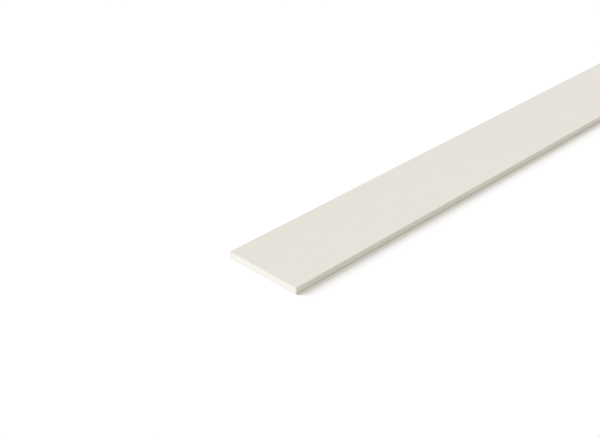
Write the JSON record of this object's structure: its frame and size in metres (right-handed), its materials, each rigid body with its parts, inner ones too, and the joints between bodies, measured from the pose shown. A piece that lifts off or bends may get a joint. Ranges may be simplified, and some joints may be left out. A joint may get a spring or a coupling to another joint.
{
  "type": "fibre cement board",
  "caption": "Long flat fibre cement trim board with a smooth primed face, lightly eased long edges and square sawn ends, nailed through its face to a wall as trim or fascia.",
  "frame": {"origin": "middle of the back face, which lies on the floor", "axes": "+X along the board's length, +Y across its width, +Z out of its front face"},
  "size_m": [3.6576, 0.235, 0.0191],
  "materials": {
    "primed_fibre_cement": "matte"
  },
  "bodies": {
    "root": {"board": "primed_fibre_cement"}
  },
  "joints": []
}
